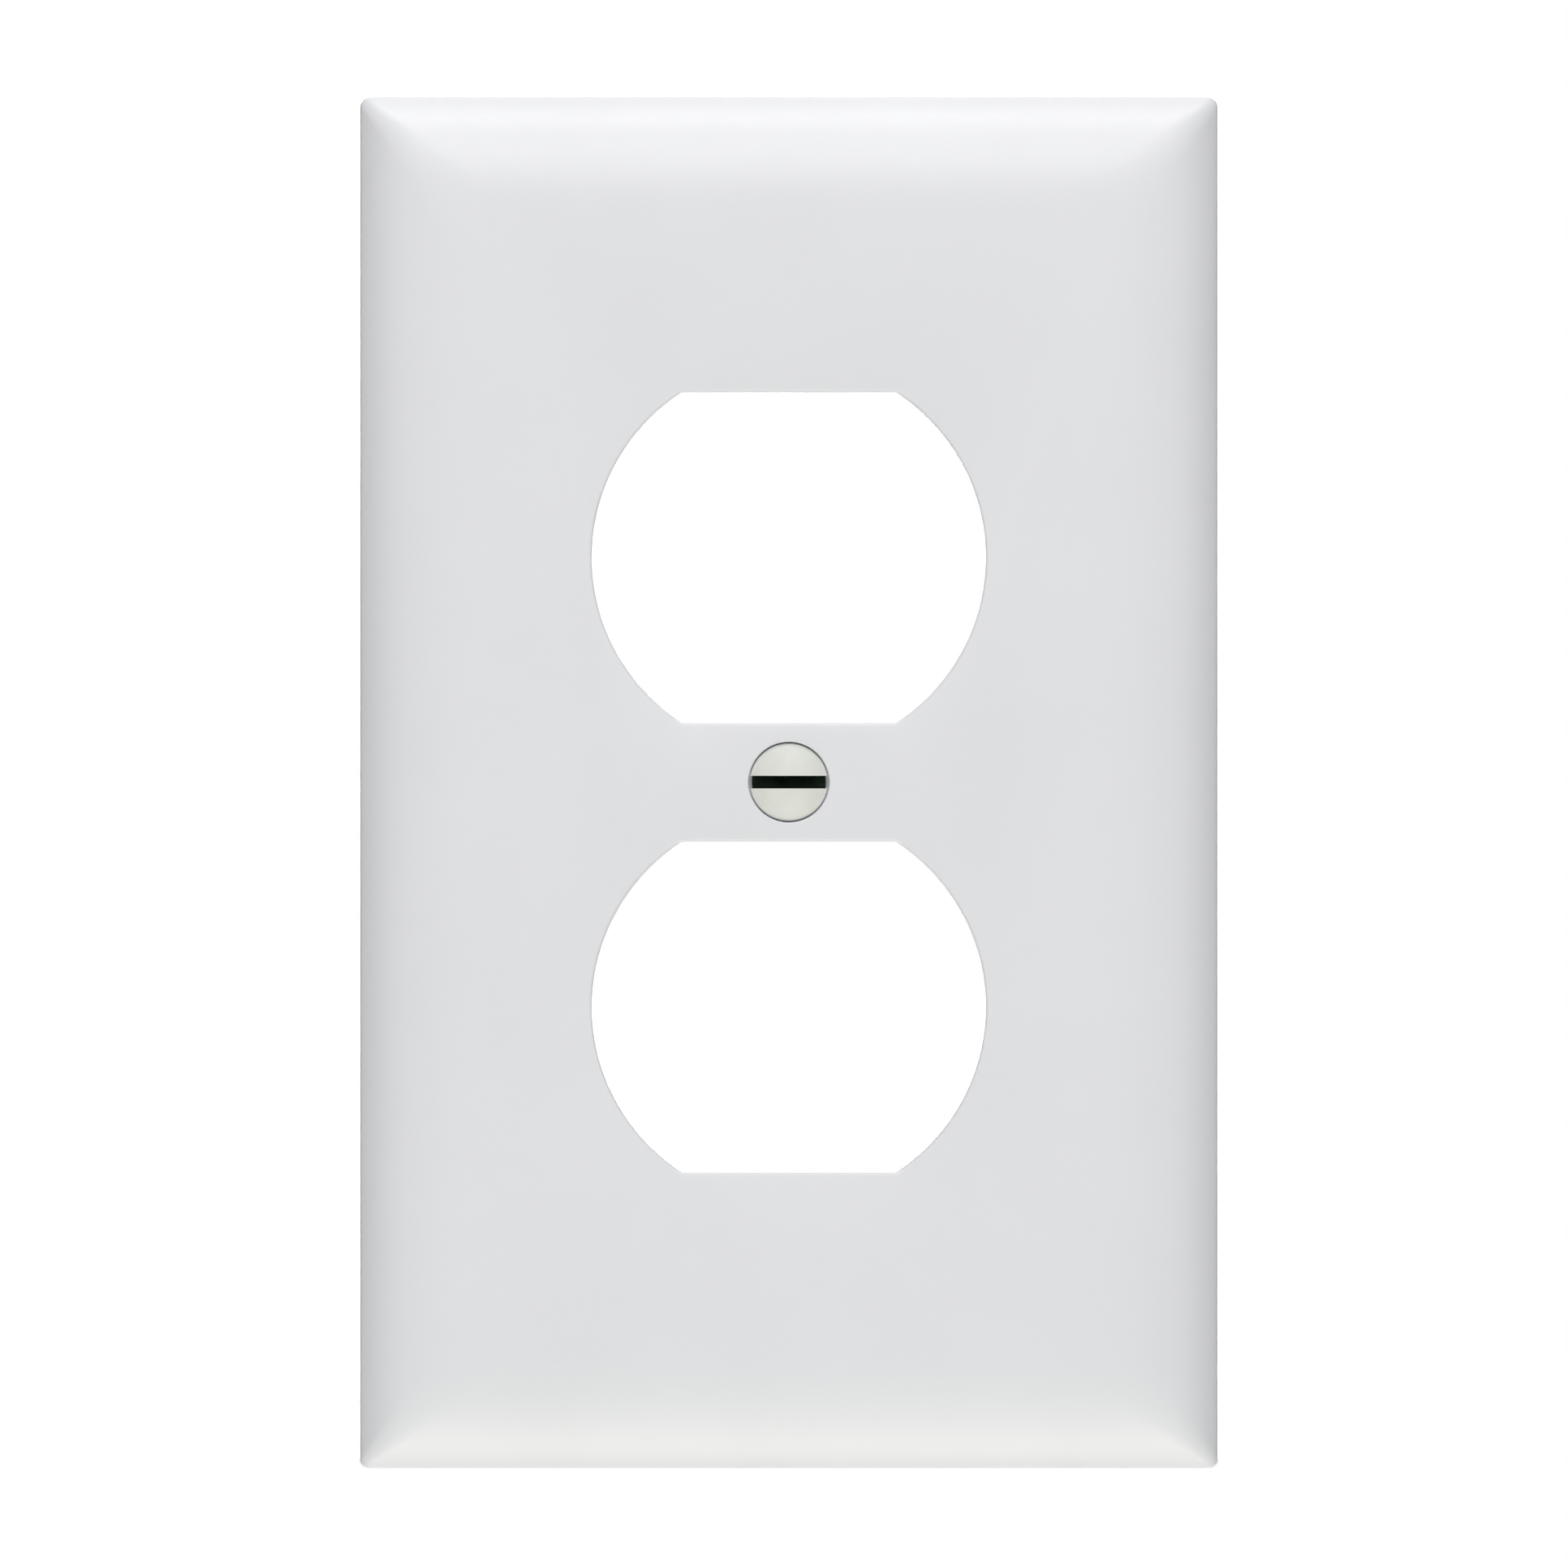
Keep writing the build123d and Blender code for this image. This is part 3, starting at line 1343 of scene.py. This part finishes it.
@dataclass
class Studio:
    """Camera, lamps, floor and surroundings. Sizes in metres, lens and sensor in millimetres."""

    front: float
    lens: float = 500.0
    sensor: float = 36.0
    frame_width: float = 0.1357
    aside: float = -0.00042
    below: float = -0.00016
    floor_level: float = -0.6
    floor_size: float = 4.5
    ambient: float = 0.02
    finish: FloorPaint = field(default_factory=FloorPaint)
    lamps: tuple[Lamp, ...] = (
        Lamp("high_key", (0.0, -0.85, 0.5), (0.6, 0.4), 3.13, (0.97, 0.97, 1.0)),
        Lamp("high_rim", (0.0, -0.3, 0.55), (0.6, 0.3), 2.3, (1.0, 0.995, 0.965)),
        Lamp("overhead", (0.0, 0.0, 0.55), (0.5, 0.5), 0.8, (1.0, 0.99, 0.88)),
        Lamp("under", (0.0, -0.2, -0.56), (0.6, 0.4), 1.95, (1.0, 1.0, 0.92)),
        Lamp("low_fill", (0.0, -0.45, -0.53), (0.6, 0.3), 0.95, (1.0, 1.0, 0.86)),
        Lamp("low_front", (0.0, -0.7, -0.5), (0.6, 0.3), 0.85, (1.0, 1.0, 0.93)),
        Lamp("behind", (0.0, 1.5, 0.3), (0.9, 0.9), 14.0, (1.0, 0.995, 0.97)),
    )

    def camera(self) -> None:
        """Adds the camera, square to the plate."""
        data = bpy.data.cameras.new("camera")
        data.lens, data.sensor_width = self.lens, self.sensor
        camera = add("camera", data)
        distance = self.frame_width * self.lens / self.sensor
        camera.location = (self.aside, self.front - distance, self.below)
        camera.rotation_euler = FACING_OUT
        bpy.context.scene.camera = camera

    def floor(self) -> None:
        """Adds a plain pale floor, well below the plate."""
        bpy.ops.mesh.primitive_circle_add(
            vertices=96, radius=self.floor_size, fill_type="NGON",
            location=(0.0, 0.0, self.floor_level),
        )
        floor = Bench.settle("floor")
        floor.data.materials.append(self.finish.material())

    def surroundings(self) -> None:
        """Makes the world white where it is seen or mirrored, and dim where it lights."""
        world = bpy.data.worlds.new("surroundings")
        bpy.context.scene.world = world
        world.use_nodes = True
        tree = world.node_tree
        dim, white = tree.nodes["Background"], tree.nodes.new("ShaderNodeBackground")
        for background, strength in ((dim, self.ambient), (white, 1.0)):
            background.inputs["Strength"].default_value = strength
            background.inputs["Color"].default_value = (1.0, 1.0, 1.0, 1.0)
        mix = tree.nodes.new("ShaderNodeMixShader")
        for number, source in enumerate((seen_or_mirrored(tree), dim.outputs[0], white.outputs[0])):
            tree.links.new(source, mix.inputs[number])
        tree.links.new(mix.outputs[0], tree.nodes["World Output"].inputs["Surface"])

    def build(self) -> None:
        """Sets up the whole studio."""
        bpy.context.scene.view_settings.view_transform = "Standard"
        self.camera()
        self.surroundings()
        self.floor()
        for lamp in self.lamps:
            lamp.build()


# ---- putting it together ----


def named(rows: Sequence[dict]) -> dict[str, dict]:
    """The record's rows, by their names."""
    return {row["name"]: row for row in rows}


def levels_from(frame: dict) -> ScrewLevels:
    """Reads from the frame where the screw and its washer are.


    Returns:
        The screw's levels.
    """
    plate_low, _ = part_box("wall_plate")
    screw_low, screw_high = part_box("mounting_screw")
    washer_low, washer_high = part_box("retaining_washer")
    travel = named(frame["record"]["behaviour"]["joints"])["screw_travel"]["range_m"][1]
    just_clear = 0.01
    return ScrewLevels(
        tip=-in_mm(screw_high.y),
        head_radius=in_mm(screw_high.z - screw_low.z) / 2,
        thread_radius=named(frame["record"]["mounts"])["screw_thread"]["dims"]["r_mm"],
        washer_radius=in_mm(washer_high.x - washer_low.x) / 2,
        face=-in_mm(plate_low.y),
        boss=in_mm(travel - washer_low.y) + just_clear,
    )


def build_plate(frame: dict, levels: ScrewLevels) -> Piece:
    """Builds the plate at the size of the frame's plate.

    Args:
        levels: where the screw sits in it.

    Returns:
        The finished plate.
    """
    low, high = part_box("wall_plate")
    return Plate(
        width=in_mm(high.x - low.x),
        height=in_mm(high.z - low.z),
        depth=-in_mm(low.y),
        opening_centre=in_mm(named(frame["record"]["mounts"])["upper_opening"]["pos_m"][2]),
        seat_levels=levels,
    ).build()


def build_washer(levels: ScrewLevels) -> Piece:
    """Builds the washer where the frame's washer is.

    Args:
        levels: where the screw is that it sits on.

    Returns:
        The finished washer.
    """
    low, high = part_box("retaining_washer")
    clearance = 0.05
    return Washer(
        radius=levels.washer_radius,
        hole=levels.neck_radius + clearance,
        low=-in_mm(high.y),
        high=-in_mm(low.y),
    ).build()


def main() -> None:
    """Builds the wall plate, its screw and its washer, and the studio round them."""
    logging.basicConfig(level=logging.INFO, format="%(name)s: %(message)s")
    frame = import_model()
    levels = levels_from(frame)
    Studio(front=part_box("wall_plate")[0].y).build()
    for piece in (build_plate(frame, levels), Screw(levels).build(), build_washer(levels)):
        LOG.info("%s: %d faces", piece.name, len(piece.data.polygons))
    bpy.context.view_layer.update()


if __name__ == "__main__":
    main()
